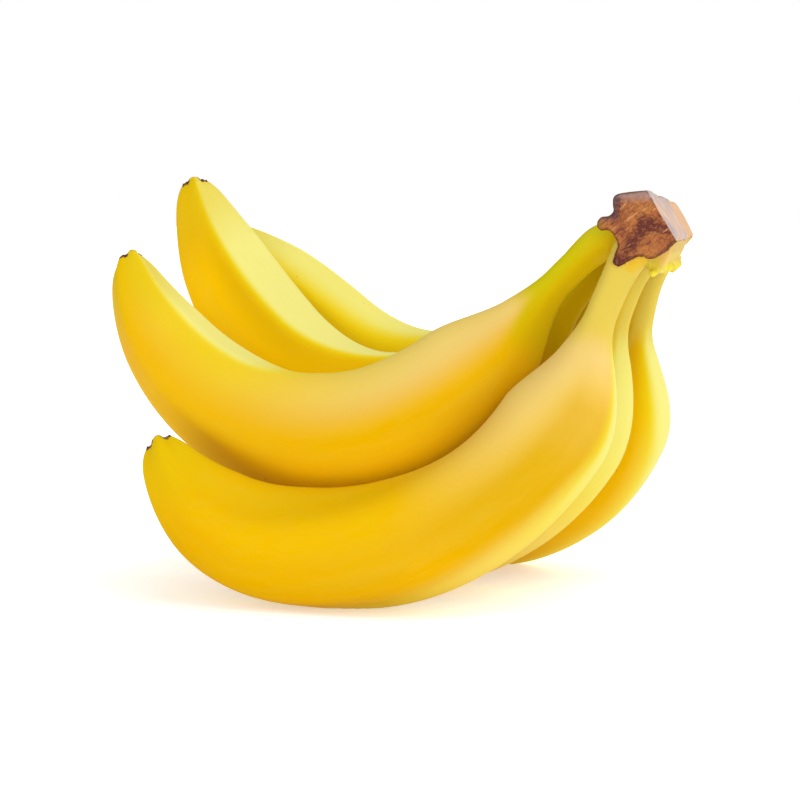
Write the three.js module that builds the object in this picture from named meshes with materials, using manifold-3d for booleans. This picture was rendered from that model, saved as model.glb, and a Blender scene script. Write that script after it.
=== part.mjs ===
// A cluster of six bananas cut from a hand: two rows of three fingers that grow from one crown.
// The outer row lies on its bellies, and the inner row nests above it, in the hollow of its curve.
// Millimetres and degrees, +Z up. The fingers run from the crown at +X to their blossom ends at -X,
// the rows run along Y, and the cluster stands on the plane z = 0.

import * as THREE from "three";
import Module from "manifold-3d";
import { mergeVertices } from "three/addons/utils/BufferGeometryUtils.js";

const wasm = await Module();
wasm.setup();

// ---- Driving dimensions ----

const STALK_RADIUS = 4.7; // the pedicel, between the crown and the shoulder
const STALK_FLARE = 1.2; // how much wider it is where it leaves the crown
const BELLY_RADIUS = 20; // the thickest part of a full finger
const SHOULDER_SHARE = 0.94; // the girth just past the shoulder, as a share of the belly's
const NOSE_RADIUS = 3.9; // the blunt blossom end
const PINCH = 0.06; // how far the finger draws in just before the blossom end

// Where things happen along a finger, as shares of its length from the crown.
const SWELL = [0.3, 0.6];
const TAPER_FROM = 0.5;
const PINCHED = [0.86, 0.95, 1];
const STATIONS = [0, 0.2, 0.45, 0.72, 1]; // where a finger's directions are given

// A banana is a rounded pentagon in section.
const FACES = 5;
const ROUNDNESS = [4, 11]; // at the shoulder and at the nose: 2 would be round, 20 a sharp pentagon

// pitch is the climb of the centreline in degrees at the five stations, and yaw is its turn from
// -X towards +Y, so each stretch between two stations is an arc. shoulder is where the neck swells,
// taper is how late the nose narrows, and facing is how far the five faces are turned at the neck
// and at the nose.
const FINGERS = [
  { name: "banana_outer_front", root: [84, -19, 121], length: 214, girth: 0.93,
    shoulder: [0.13, 0.31], taper: 3, facing: [0, 42],
    pitch: [-57, -72.5, -35, 2, 67], yaw: [-36, -36, -12, -4, -4] },
  { name: "banana_outer_middle", root: [82, 0, 119], length: 203, girth: 0.92,
    shoulder: [0.13, 0.34], taper: 2.6, facing: [0, 42],
    pitch: [-59, -78, -37, 5, 58], yaw: [0, 0, 0, 0, 0] },
  { name: "banana_outer_back", root: [82, 19, 118], length: 208, girth: 0.94,
    shoulder: [0.15, 0.33], taper: 2.6, facing: [0, 42],
    pitch: [-49, -82.5, -34, 5, 58], yaw: [38, 44, 14, 6, 6] },
  { name: "banana_inner_front", root: [75, -10, 122], length: 208, girth: 0.96,
    shoulder: [0.12, 0.33], taper: 2.1, facing: [-8, -3],
    pitch: [-37, -52, -22, 31, 76], yaw: [-14, -14, -6, -1, -1] },
  { name: "banana_inner_middle", root: [74, 9, 121], length: 217, girth: 0.94,
    shoulder: [0.12, 0.35], taper: 2.6, facing: [-12, 28],
    pitch: [-45, -50, -9.5, 50.5, 75], yaw: [8, 8, 3, 1, 0] },
  { name: "banana_inner_back", root: [74, 26, 121], length: 206, girth: 0.91,
    shoulder: [0.12, 0.35], taper: 2.9, facing: [0, 30],
    pitch: [-34, -45, -16, 41, 40], yaw: [30, 30, 10, 2, 0] },
];

const RING_SIDES = 20; // a multiple of FACES, so that each ridge runs along a line of corners
const RINGS = 32;
const FLOOR = 6.9; // the height at which the bellies of the outer row are pressed flat

// The crown is a wedge of the hand's cushion: its corners as [x, z] at the front end.
const CROWN_CORNERS = [
  [76, 131], [87, 132], [96, 118], [92, 114], [80, 113.5], [76, 117], [72.5, 120], [74.5, 126],
];
const CROWN_FRONT = -26;
const CROWN_BACK = 32;
const CROWN_CENTRE = [80, 119];
const CROWN_TAPER = 0.72; // size of the back end against the front end
const CROWN_LEAN = -5; // how far the back end is shifted towards the fingers
const CROWN_BEVEL = 1.2;
const CROWN_CUT = 10.5; // from a finger's root to where its own solid starts
const GAP = 0.3; // clearance between two solids that meet

// ---- Shape of one finger ----

const radians = THREE.MathUtils.degToRad;
const { lerp, smoothstep } = THREE.MathUtils;

// Radius of a finger at a share of its length, were it round.
function radiusAt(share, { girth, shoulder, taper }) {
  const belly = BELLY_RADIUS * girth * lerp(SHOULDER_SHARE, 1, smoothstep(share, ...SWELL));
  const stalk = STALK_RADIUS + STALK_FLARE * (1 - smoothstep(share, 0, 0.1));
  const body = lerp(stalk, belly, smoothstep(share, ...shoulder));
  const past = Math.max(0, (share - TAPER_FROM) / (1 - TAPER_FROM));
  const blunt = (NOSE_RADIUS / (BELLY_RADIUS * girth)) ** 2;
  const [begin, most, end] = PINCHED;
  const pinch = 1 - PINCH * smoothstep(share, begin, most) * (1 - smoothstep(share, most, end));
  return body * Math.sqrt(1 - (1 - blunt) * past ** taper) * pinch;
}

// How far the rounded pentagon stands from its centre in a direction, about 1 on average.
function sectionAt(angle, roundness) {
  let sum = 0;
  for (let face = 0; face < FACES; face++) {
    const toFace = Math.cos(angle - (face * 2 * Math.PI) / FACES);
    sum += Math.max(0, toFace) ** roundness;
  }
  const atRidge = (2 * Math.cos(Math.PI / FACES) ** roundness) ** (-1 / roundness);
  return (2 * sum ** (-1 / roundness)) / (1 + atRidge);
}

// A value given at the five stations, at a share of the length between them.
function between(values, share) {
  const last = STATIONS.length - 2;
  const i = Math.min(last, STATIONS.findLastIndex((station) => station <= share));
  const part = (share - STATIONS[i]) / (STATIONS[i + 1] - STATIONS[i]);
  return lerp(values[i], values[i + 1], part);
}

// The centreline as a function from a share of the length to a point and a direction.
function centreline({ root, length, pitch, yaw }) {
  const steps = 200;
  const heading = (share) => {
    const climb = radians(between(pitch, share));
    const turn = radians(between(yaw, share));
    const level = Math.cos(climb);
    return new THREE.Vector3(-level * Math.cos(turn), level * Math.sin(turn), Math.sin(climb));
  };
  const points = [new THREE.Vector3(...root)];
  for (let i = 0; i < steps; i++) {
    const next = points[i].clone();
    points.push(next.addScaledVector(heading((i + 0.5) / steps), length / steps));
  }
  return (share) => {
    const i = Math.min(steps - 1, Math.floor(share * steps));
    const point = points[i].clone().lerp(points[i + 1], share * steps - i);
    const turn = radians(between(yaw, share));
    const side = new THREE.Vector3(-Math.sin(turn), -Math.cos(turn), 0);
    return { point, along: heading(share), side };
  };
}

// A closed cylinder with its rings laid along a stretch of the centreline, and each ring pressed
// to the finger's section there.
function fingerTube(finger, from, to, rings) {
  const line = centreline(finger);
  const tube = new THREE.CylinderGeometry(1, 1, 1, RING_SIDES, rings);
  const place = tube.getAttribute("position");
  for (let i = 0; i < place.count; i++) {
    const share = lerp(from, to, 0.5 - place.getY(i));
    const { point, along, side } = line(share);
    const inner = new THREE.Vector3().crossVectors(along, side);
    const late = smoothstep(share, 0.35, 1);
    const angle = Math.atan2(place.getX(i), place.getZ(i));
    const size = radiusAt(share, finger) * sectionAt(angle, lerp(...ROUNDNESS, late));
    const reach = size * Math.hypot(place.getX(i), place.getZ(i));
    const turned = angle + radians(lerp(...finger.facing, late));
    point.addScaledVector(inner, reach * Math.cos(turned));
    point.addScaledVector(side, reach * Math.sin(turned));
    place.setXYZ(i, point.x, point.y, Math.max(FLOOR, point.z));
  }
  return tube;
}

// ---- Crown ----

function crownBlock() {
  const outline = new THREE.Shape(CROWN_CORNERS.map(([x, z]) => new THREE.Vector2(x, z)));
  const depth = CROWN_BACK - CROWN_FRONT - 2 * CROWN_BEVEL;
  const block = new THREE.ExtrudeGeometry(outline, {
    depth,
    steps: 6,
    bevelThickness: CROWN_BEVEL,
    bevelSize: CROWN_BEVEL,
    bevelOffset: -CROWN_BEVEL,
    bevelSegments: 2,
  });
  block.rotateX(Math.PI / 2);
  block.translate(0, CROWN_BACK - CROWN_BEVEL, 0);
  const place = block.getAttribute("position");
  const [centreX, centreZ] = CROWN_CENTRE;
  for (let i = 0; i < place.count; i++) {
    const backward = (place.getY(i) - CROWN_FRONT) / (CROWN_BACK - CROWN_FRONT);
    const size = lerp(1, CROWN_TAPER, backward);
    place.setX(i, centreX + (place.getX(i) - centreX) * size + CROWN_LEAN * backward);
    place.setZ(i, centreZ + (place.getZ(i) - centreZ) * size);
  }
  return block;
}

// ---- Solids ----

function solidOf(geometry) {
  const bare = new THREE.BufferGeometry();
  bare.setIndex(geometry.index);
  bare.setAttribute("position", geometry.getAttribute("position"));
  const merged = mergeVertices(bare, 1e-3);
  const triVerts = new Uint32Array(merged.index.array);
  const vertProperties = merged.getAttribute("position").array;
  return new wasm.Manifold(new wasm.Mesh({ numProp: 3, vertProperties, triVerts }));
}

function geometryOf(solid) {
  const mesh = solid.getMesh();
  const geometry = new THREE.BufferGeometry();
  geometry.setAttribute("position", new THREE.BufferAttribute(mesh.vertProperties, 3));
  geometry.setIndex(new THREE.BufferAttribute(mesh.triVerts, 1));
  return geometry;
}

// The crown keeps the first stretch of each pedicel, which grows out of it without a seam.
function crownSolid() {
  let crown = solidOf(crownBlock());
  for (const finger of FINGERS) {
    const stub = fingerTube(finger, 0, (CROWN_CUT - GAP / 2) / finger.length, 3);
    crown = crown.add(solidOf(stub));
  }
  return crown;
}

function fingerSolid(finger) {
  return solidOf(fingerTube(finger, (CROWN_CUT + GAP / 2) / finger.length, 1, RINGS));
}

// ---- The cluster ----

function peel() {
  return new THREE.MeshStandardMaterial({ color: 0xefbe18, roughness: 0.45, metalness: 0 });
}

function cutCushion() {
  return new THREE.MeshStandardMaterial({ color: 0x8a4c38, roughness: 0.85, metalness: 0 });
}

function addPart(group, name, solid, material) {
  const mesh = new THREE.Mesh(geometryOf(solid), material);
  mesh.name = name;
  group.add(mesh);
}

const bunch = new THREE.Group();
addPart(bunch, "crown", crownSolid(), cutCushion());
for (const finger of FINGERS) {
  addPart(bunch, finger.name, fingerSolid(finger), peel());
}

// The middle of the cluster's footprint stands on the origin.
const box = new THREE.Box3().setFromObject(bunch);
const middle = box.getCenter(new THREE.Vector3());
bunch.children.forEach((mesh) => mesh.geometry.translate(-middle.x, -middle.y, -box.min.z));

export default bunch;
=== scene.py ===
# %% [markdown]
# # A bunch of bananas on one crown
# Six fingers grow in two staggered rows from one cut crown. The outer row lies on its bellies and the inner
# row nests above it. The packed solids give the size and the place of every finger, and the pieces made
# here take those places with smooth skin, dry noses and a torn crown. Lengths are written in millimetres,
# because fruit is thought of that way, and become metres once, when a point is placed.

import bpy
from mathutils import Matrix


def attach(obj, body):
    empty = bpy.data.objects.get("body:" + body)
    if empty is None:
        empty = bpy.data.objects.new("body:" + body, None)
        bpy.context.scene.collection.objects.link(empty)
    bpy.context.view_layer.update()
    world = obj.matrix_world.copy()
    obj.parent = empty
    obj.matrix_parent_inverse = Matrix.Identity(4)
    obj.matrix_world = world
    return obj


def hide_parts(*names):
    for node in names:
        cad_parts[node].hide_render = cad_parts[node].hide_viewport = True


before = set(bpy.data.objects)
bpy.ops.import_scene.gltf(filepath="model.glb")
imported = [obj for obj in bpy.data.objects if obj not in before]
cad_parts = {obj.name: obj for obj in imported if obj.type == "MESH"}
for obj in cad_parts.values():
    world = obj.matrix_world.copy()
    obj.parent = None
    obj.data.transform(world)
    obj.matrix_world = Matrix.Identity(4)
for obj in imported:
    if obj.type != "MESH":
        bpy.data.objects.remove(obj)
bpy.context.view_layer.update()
print("solids:", sorted(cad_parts))

# %% Tools used all through
import math

import bmesh
import bpy
from mathutils import Vector, noise

MM = 0.001
# Roots and corners are written in the grower's frame, and this is the bunch's resting place in it.
RESTING_PLACE = Vector((1.575, 7.159, 6.900))


def mix(a, b, t):
    return a + (b - a) * t


def ease(t, low, high):
    """0 below low, 1 above high, and a smooth step between them."""
    t = min(1.0, max(0.0, (t - low) / (high - low)))
    return t * t * (3 - 2 * t)


def wave(x, y, z):
    """Smooth noise about zero."""
    return noise.noise(Vector((x, y, z)))


def placed(point_mm):
    """A point of the grower's frame, in metres in the bunch's own frame."""
    return (point_mm - RESTING_PLACE) * MM


print("a smooth step:", [round(ease(t, 0, 4), 2) for t in range(5)])


# %% [markdown]
# ## Camera
# A long lens keeps the fingers from swelling towards the eye. The camera stands low, a little to the right
# of the front of the bunch, so the necks show one behind the other and the bellies hide the table under
# them.

# %% Camera
CAMERA_AZIMUTH = math.radians(20)
CAMERA_ELEVATION = math.radians(5)
CAMERA_DISTANCE = 0.710
CAMERA_TARGET = Vector((-0.00158, -0.00716, 0.0591))

towards_camera = Vector((
    math.sin(CAMERA_AZIMUTH) * math.cos(CAMERA_ELEVATION),
    -math.cos(CAMERA_AZIMUTH) * math.cos(CAMERA_ELEVATION),
    math.sin(CAMERA_ELEVATION),
))
camera = bpy.data.objects.new("camera", bpy.data.cameras.new("camera"))
camera.data.lens = 100
camera.data.clip_start = 0.01
camera.data.clip_end = 50
camera.location = CAMERA_TARGET + towards_camera * CAMERA_DISTANCE
camera.rotation_mode = "QUATERNION"
camera.rotation_quaternion = (-towards_camera).to_track_quat("-Z", "Y")
bpy.context.scene.collection.objects.link(camera)
bpy.context.scene.camera = camera
print("camera at", [round(c, 3) for c in camera.location])

# %% [markdown]
# ## Light and table
# Fruit is shot on a glowing table in a white tent: light comes from everywhere, also from below. One broad
# light behind the right shoulder turns the peel's far faces to pale lemon, a weaker one hangs overhead, and
# two beside the camera reach in between the fingers. They are wide sun lamps, since an area lamp would
# light the near table more than the far one and draw a horizon. The standard view is chosen, because the
# filmic ones turn a strong yellow to cream.

# %% Light
scene = bpy.context.scene
scene.view_settings.view_transform = "Standard"
scene.view_settings.look = "None"

TENT_LIGHT = 0.45
TENT_SEEN = 1.0
world = bpy.data.worlds.new("tent")
scene.world = world
world.use_nodes = True
tree = world.node_tree
tent = tree.nodes["Background"]
tent.inputs["Color"].default_value = (1.0, 1.0, 1.0, 1.0)
seen = tree.nodes.new("ShaderNodeLightPath").outputs["Is Camera Ray"]
strength = tree.nodes.new("ShaderNodeMapRange")
strength.inputs["To Min"].default_value = TENT_LIGHT
strength.inputs["To Max"].default_value = TENT_SEEN
tree.links.new(seen, strength.inputs["Value"])
tree.links.new(strength.outputs["Result"], tent.inputs["Strength"])


def soft_light(name, comes_from, width, power):
    """A lamp far away and width degrees wide. comes_from points from the bunch to the lamp."""
    lamp = bpy.data.lights.new(name, "SUN")
    lamp.angle = math.radians(width)
    lamp.energy = power
    holder = bpy.data.objects.new(name, lamp)
    holder.rotation_mode = "QUATERNION"
    holder.rotation_quaternion = (-Vector(comes_from)).to_track_quat("-Z", "Y")
    holder.location = Vector(comes_from) * 2
    scene.collection.objects.link(holder)


soft_light("side", (0.66, 0.42, 0.52), 45, 1.55)
soft_light("overhead", (0.25, -0.10, 0.96), 36, 0.8)
soft_light("front", (-0.15, -0.85, 0.50), 80, 0.8)
soft_light("eye", (0.34, -0.93, 0.14), 30, 0.9)
print("lamps:", len(bpy.data.lights))

# %% Table
FLOOR_RADIUS = 12.0
TABLE_GLOW = 0.37
disc = bmesh.new()
bmesh.ops.create_circle(disc, cap_ends=True, segments=96, radius=FLOOR_RADIUS)
floor_mesh = bpy.data.meshes.new("table")
disc.to_mesh(floor_mesh)
disc.free()
table = bpy.data.objects.new("table", floor_mesh)
scene.collection.objects.link(table)

table_paint = bpy.data.materials.new("table_paint")
table_paint.use_nodes = True
paint = table_paint.node_tree.nodes["Principled BSDF"]
for name, value in {
    "Base Color": (0.95, 0.95, 0.95, 1.0), "Roughness": 0.9, "Specular IOR Level": 0.1,
    "Emission Color": (1.0, 1.0, 1.0, 1.0), "Emission Strength": TABLE_GLOW,
}.items():
    paint.inputs[name].default_value = value
floor_mesh.materials.append(table_paint)
print("table of", FLOOR_RADIUS, "m radius")

# %% [markdown]
# ## The line that a finger follows
# A banana hangs from its crown and then turns up towards the light, so its middle line is a run of arcs in
# a plane that slowly swings round. Five stations along the length give the line's pitch (up or down) and
# yaw (left or right), and small straight steps draw it. A Bezier curve would do as well, but angles are
# what a grower sees, and they keep the length exact.

# %% The six fingers and their lines
STATIONS = [0, 0.2, 0.45, 0.72, 1]
STEPS = 200
COLUMNS = ("name", "root", "length", "girth", "shoulder", "taper", "facing", "pitch", "yaw")
ROWS = [
    ("banana_outer_front", (84, -19, 121), 214, 0.93, (0.13, 0.31), 3.0, (0, 42),
     [-57, -72.5, -35, 2, 67], [-36, -36, -12, -4, -4]),
    ("banana_outer_middle", (82, 0, 119), 203, 0.92, (0.13, 0.34), 2.6, (0, 42),
     [-59, -78, -37, 5, 58], [0, 0, 0, 0, 0]),
    ("banana_outer_back", (82, 19, 118), 208, 0.94, (0.15, 0.33), 2.6, (0, 42),
     [-49, -82.5, -34, 5, 58], [38, 44, 14, 6, 6]),
    ("banana_inner_front", (75, -10, 122), 208, 0.96, (0.12, 0.33), 2.1, (-8, -3),
     [-37, -52, -22, 31, 76], [-14, -14, -6, -1, -1]),
    ("banana_inner_middle", (74, 9, 121), 217, 0.94, (0.12, 0.35), 2.6, (-12, 28),
     [-45, -50, -9.5, 50.5, 75], [8, 8, 3, 1, 0]),
    ("banana_inner_back", (74, 26, 121), 206, 0.91, (0.12, 0.35), 2.9, (0, 30),
     [-34, -45, -16, 41, 40], [30, 30, 10, 2, 0]),
]
FINGERS = [dict(zip(COLUMNS, row)) for row in ROWS]


def at_station(values, share):
    """The value at a share of the length, straight between the stations."""
    for i in range(len(STATIONS) - 1):
        if share <= STATIONS[i + 1]:
            break
    t = (share - STATIONS[i]) / (STATIONS[i + 1] - STATIONS[i])
    return mix(values[i], values[i + 1], t)


def heading(finger, share):
    """Unit vectors along the line, and sideways to it, at a share of the length."""
    pitch = math.radians(at_station(finger["pitch"], share))
    yaw = math.radians(at_station(finger["yaw"], share))
    along = Vector((-math.cos(pitch) * math.cos(yaw), math.cos(pitch) * math.sin(yaw), math.sin(pitch)))
    return along, Vector((-math.sin(yaw), -math.cos(yaw), 0))


def middle_line(finger):
    points = [Vector(finger["root"])]
    step = finger["length"] / STEPS
    for i in range(STEPS):
        points.append(points[-1] + heading(finger, (i + 0.5) / STEPS)[0] * step)
    return points


def on_line(points, share):
    place = min(max(share, 0), 1) * STEPS
    i = min(int(place), STEPS - 1)
    return points[i].lerp(points[i + 1], place - i)


for finger in FINGERS:
    finger["line"] = middle_line(finger)
    print(finger["name"], "ends at", [round(c) for c in finger["line"][-1]])

# %% [markdown]
# ## How thick a finger is, and its five soft faces
# The peel swells from a thin neck to a shoulder, stays full along the belly and closes to a blunt nose with
# a slight pinch before it. Across, a banana is a soft pentagon: a sum of cosines raised to a power gives
# one formula that is nearly round near the neck and squarer towards the nose, where the faces also turn.

# %% Thickness and section
BELLY_RADIUS = 20
SHOULDER_SHARE = 0.94  # the girth just past the shoulder, as a share of the belly's
SWELL = (0.3, 0.6)
STALK_RADIUS = 4.7
STALK_FLARE = 1.2
FLARE_ENDS = 0.1
TAPER_FROM = 0.5
NOSE_RADIUS = 3.9
PINCH = 0.06
PINCHED = (0.86, 0.95, 1)
FACES = 5
FACE_ANGLE = 2 * math.pi / FACES
ROUNDNESS = (4, 11)  # at the shoulder and at the nose: 2 would be round


def radius_at(share, finger):
    full = BELLY_RADIUS * finger["girth"]
    belly = full * mix(SHOULDER_SHARE, 1, ease(share, *SWELL))
    stalk = STALK_RADIUS + STALK_FLARE * (1 - ease(share, 0, FLARE_ENDS))
    body = mix(stalk, belly, ease(share, *finger["shoulder"]))
    past = max(0, (share - TAPER_FROM) / (1 - TAPER_FROM))
    blunt = (NOSE_RADIUS / full) ** 2
    begin, most, end = PINCHED
    pinch = 1 - PINCH * ease(share, begin, most) * (1 - ease(share, most, end))
    return body * math.sqrt(1 - (1 - blunt) * past ** finger["taper"]) * pinch


def section_at(angle, power):
    """1 on average: a little more on the five ridges, a little less on the faces between them."""
    total = sum(max(0, math.cos(angle - k * FACE_ANGLE)) ** power for k in range(FACES))
    at_ridge = (2 * math.cos(FACE_ANGLE / 2) ** power) ** (-1 / power)
    return 2 * total ** (-1 / power) / (1 + at_ridge)


def ridge_at(angle):
    """1 on a ridge, 0 in the middle of a face."""
    off = (angle / FACE_ANGLE) % 1.0
    return 1 - 2 * abs(off - 0.5)


radii = [round(radius_at(share, FINGERS[0]), 1) for share in (0.2, 0.55)]
print("radius at the shoulder and the belly, mm:", radii)

# %% [markdown]
# ## Skin from a grid
# A flat grid is rolled round the line: one way of the grid becomes the angle round the finger, the other
# the share of its length, and the two long edges are welded. Spinning a profile can't bend with the line,
# and a skin modifier has no faces to shape, so rolling a grid is the plain way. Each vertex keeps notes for
# the later steps: how far along and round it is, how near a ridge, and where it would lie on a straight
# finger.

# %% Roll a grid into a finger
SIDES = 90
RINGS = 220
TURN_FROM = 0.35  # from here on the faces turn and grow flatter
RIDGES_SHOW = (0.2, 0.4)


def skin_point(finger, share, angle, swell=0.0):
    """A point of the skin and its place on a straightened finger. swell is added to the radius, mm."""
    along, side = heading(finger, share)
    inner = along.cross(side)
    late = ease(share, TURN_FROM, 1)
    size = radius_at(share, finger) * section_at(angle, mix(*ROUNDNESS, late)) + swell
    turned = angle + math.radians(mix(*finger["facing"], late))
    straight = Vector((math.cos(angle) * size, math.sin(angle) * size, share * finger["length"]))
    point = on_line(finger["line"], share)
    point = point + inner * size * math.cos(turned) + side * size * math.sin(turned)
    return point, straight


def notes(skin, *names):
    return [skin.verts.layers.float[name] for name in names]


def rolled(finger, first, last, sides, rings, swell=lambda share, angle: 0.0):
    """A bmesh tube, open at both ends, with its notes filled in as far as they are known here."""
    skin = bmesh.new()
    bmesh.ops.create_grid(skin, x_segments=sides, y_segments=rings, size=0.5)
    for name in ("share", "ridge", "angle", "dry", "arm", "sunk", "lit_lemon", "painted_sheen", "neck", "under"):
        skin.verts.layers.float.new(name)
    straight_note = skin.verts.layers.float_vector.new("straight")
    share_note, ridge_note, angle_note = notes(skin, "share", "ridge", "angle")
    for vert in skin.verts:
        share = mix(first, last, vert.co.y + 0.5)
        angle = (vert.co.x + 0.5) * 2 * math.pi
        point, straight = skin_point(finger, share, angle, swell(share, angle))
        vert[share_note] = share
        vert[angle_note] = math.degrees(angle) % 360
        vert[ridge_note] = ridge_at(angle) * ease(share, *RIDGES_SHOW)
        vert[straight_note] = straight * MM
        vert.co = placed(point)
    bmesh.ops.remove_doubles(skin, verts=skin.verts, dist=1e-6)
    return skin


trial = rolled(FINGERS[0], 0, 1, 12, 8)
print("a coarse finger has", len(trial.verts), "corners and", len(trial.faces), "faces")
trial.free()

# %% [markdown]
# ## The nose
# Where the flower fell off, the peel ends in a small dry scar. The skin reaches furthest on one side and
# along the five ridges, and is torn back between them. How far it is torn back is noted, because the rim is
# charred there and straw-coloured at the peak. The scar is drawn out of the last ring by extruding and
# shrinking it, step by step, as one would in the editor.

# %% Close the nose and the root
NOSE_STEPS = [
    # ring radius as a share of the last ring's, and how far it stands out, mm
    (1.02, 0.15), (0.97, 0.30), (0.86, 0.15), (0.66, -0.15), (0.44, -0.1), (0.24, 0.15), (0.08, 0.3),
]
NOSE_BEGINS = 0.94
NOSE_SLANT = 5.2  # how much further the skin reaches on one side than on the other
USUAL_PEAK = 45  # the angle of that side
NOSE_PEAKS = {"banana_outer_front": 20, "banana_inner_front": 52, "banana_inner_middle": 40}
NOSE_SHARPNESS = 1.15  # 1 would fall straight away from the peak
NOSE_LIFT = 1.5
RIDGE_BITE = 0.7
TEAR_DEPTH = 0.7
TEARS = 2.6  # how closely the tears follow each other round the rim


def end_ring(skin, share):
    """The open edges whose two vertices both lie at that share."""
    note = notes(skin, "share")[0]
    return [e for e in skin.edges if e.is_boundary and all(abs(v[note] - share) < 1e-5 for v in e.verts)]


def close_nose(skin, finger):
    share_note, angle_note, ridge_note, dry_note, arm_note, sunk_note = notes(
        skin, "share", "angle", "ridge", "dry", "arm", "sunk")
    out = heading(finger, 1.0)[0]
    centre = placed(finger["line"][-1])
    peak = NOSE_PEAKS.get(finger["name"], USUAL_PEAK)
    for vert in skin.verts:
        share = vert[share_note]
        vert[dry_note] = (share - 1) * finger["length"]
        vert[arm_note] = (vert.co - centre).length
        off_peak = math.radians((vert[angle_note] - peak + 180) % 360 - 180)
        tear = noise.noise(Vector((math.cos(off_peak), math.sin(off_peak), finger["length"])) * TEARS)
        slant = NOSE_SLANT * (abs(off_peak) / math.pi) ** NOSE_SHARPNESS
        bite = RIDGE_BITE * (1 - vert[ridge_note] ** 1.5)
        vert[sunk_note] = slant + TEAR_DEPTH * tear + bite - NOSE_LIFT
        vert.co -= out * vert[sunk_note] * ease(share, NOSE_BEGINS, 1.0) * MM
    middle = NOSE_SLANT / 2 - NOSE_LIFT
    ring = end_ring(skin, 1.0)
    for shrink, stand in NOSE_STEPS:
        grown = bmesh.ops.extrude_edge_only(skin, edges=ring)["geom"]
        ring = [g for g in grown if isinstance(g, bmesh.types.BMEdge) and g.is_boundary]
        for vert in {v for edge in ring for v in edge.verts}:
            flat = vert.co - centre
            way = (flat - out * flat.dot(out)).normalized()
            torn = noise.noise(way * TEARS + Vector((finger["length"], 0, 0)))
            vert.co = centre + way * vert[arm_note] * shrink * (1 + 0.10 * torn)
            vert.co += out * (stand * (1 + 0.5 * torn) - mix(middle, vert[sunk_note], shrink)) * MM
            vert[dry_note] = 0.4 + abs(1 - shrink)
    bmesh.ops.contextual_create(skin, geom=ring)


def close_root(skin, share):
    bmesh.ops.contextual_create(skin, geom=end_ring(skin, share))


print("a nose takes", len(NOSE_STEPS), "steps")


# %% [markdown]
# ## Shallow dents
# Real peel is never quite even. A slow noise is added to the radius, just enough for an unsteady shine, and
# it fades out at the neck and the nose, where the skin is tight.

# %% Dents
DENT_DEPTH = 0.35
DENT_SPACING = 26.0


def dent(finger):
    seed = Vector((finger["length"], finger["root"][1], 0))

    def swell(share, angle):
        size = radius_at(share, finger)
        at = Vector((math.cos(angle) * size, math.sin(angle) * size, share * finger["length"]))
        tight = ease(share, 0.1, 0.3) * (1 - ease(share, 0.9, 1))
        return DENT_DEPTH * noise.noise(at / DENT_SPACING + seed) * tight

    return swell


deepest = min(dent(FINGERS[0])(share / 40, 0) for share in range(40))
print("deepest dent along one ridge, mm:", round(deepest, 2))

# %% [markdown]
# ## Where light and shade are painted on a finger
# The peel is gold, and light and shade are partly painted into it. Painted light turns the upper face and
# the far side, where the overhead and side lamps fall, pale lemon; a painted sheen, pale tan, lies on the
# shoulders of the two front fingers and on the lit far sides of the outer row; painted shading lightens the
# bellies of the inner row and darkens those of the outer row; and each neck is painted darker on its shaded
# side. Each of these is a soft patch, noted on the vertices as a number from 0 to 1, and the paint blends by
# it. Angles run round the finger in degrees, from the middle of the upper face over the front.

# %% Painted light on the lemon sides
TO_BELLY = (0.25, 0.50)
TO_NOSE = (0.55, 0.75)
# Painted light: the lamps' light on the upper face and the far side is painted as pale lemon. Three edges
# for
# each finger: one that gives way softly down the front, one that stops sharply at a ridge and one that comes
# back on the far side. Each is (from, to), with its strength at the shoulder, the belly and the nose.
OUTER_SOFT = ((45, 85), (0.05, 0.10, 0.10))
OUTER_CRISP = ((28, 44), (0, 0, 0))
LIT_LEMON = {
    "banana_outer_front": (OUTER_SOFT, OUTER_CRISP, ((114, 154), (0.9, 0.35, 0.3))),
    "banana_outer_middle": (OUTER_SOFT, OUTER_CRISP, ((95, 140), (0.85, 0.25, 0.2))),
    "banana_outer_back": (OUTER_SOFT, OUTER_CRISP, ((146, 200), (1.0, 0.8, 0.5))),
    "banana_inner_front": (
        ((40, 95), (0.15, 0.22, 0.38)), ((27, 43), (0, 0.1, 0.6)), ((150, 200), (0, 0.1, 0.2))),
    "banana_inner_middle": (
        ((36, 80), (0.15, 0.15, 0.12)), ((20, 45), (0.6, 1.0, 1.0)), ((150, 200), (0, 0, 0))),
    "banana_inner_back": (
        ((30, 120), (0.3, 0.3, 0.3)), ((-15, 55), (0.5, 0.55, 0.55)), ((150, 200), (0, 0, 0))),
}


def along_finger(strengths, share):
    shoulder, belly, nose = strengths
    return mix(mix(shoulder, belly, ease(share, *TO_BELLY)), nose, ease(share, *TO_NOSE))


def far_side(finger, round_front):
    """1 on the side that looks away from the eye, 0 in front and on top."""
    return ease(round_front, *LIT_LEMON[finger["name"]][2][0]) * ease(round_front, 320, 250)


# Painted light: how pale lemon a place is painted where the lamps fall on the upper face and the far side.
def lit_lemon_at(finger, share, round_front, over_top):
    soft, crisp, far = LIT_LEMON[finger["name"]]
    lit_lemon = along_finger(soft[1], share) * (1 - ease(over_top, *soft[0]))
    lit_lemon += along_finger(crisp[1], share) * (1 - ease(over_top, *crisp[0]))
    return max(lit_lemon, along_finger(far[1], share) * far_side(finger, round_front))


print("lemon on top of", FINGERS[4]["name"], "is", lit_lemon_at(FINGERS[4], 0.5, 0, 0))

# %% Painted sheen, painted belly shading and painted neck shade
# The angles between which a ripe neck turns from painted shade, gold, to lit yellow. The front one is yellow
# all round.
RIPE_NECK_TURNS = {"banana_outer_middle": (95, 140), "banana_outer_back": (100, 160)}


def outer(finger):
    return "outer" in finger["name"]


def gold_front(share, over_top):
    """1 on the front face of the front finger, past its shoulder."""
    return ease(over_top, 45, 85) * ease(share, 0.19, 0.27)


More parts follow.
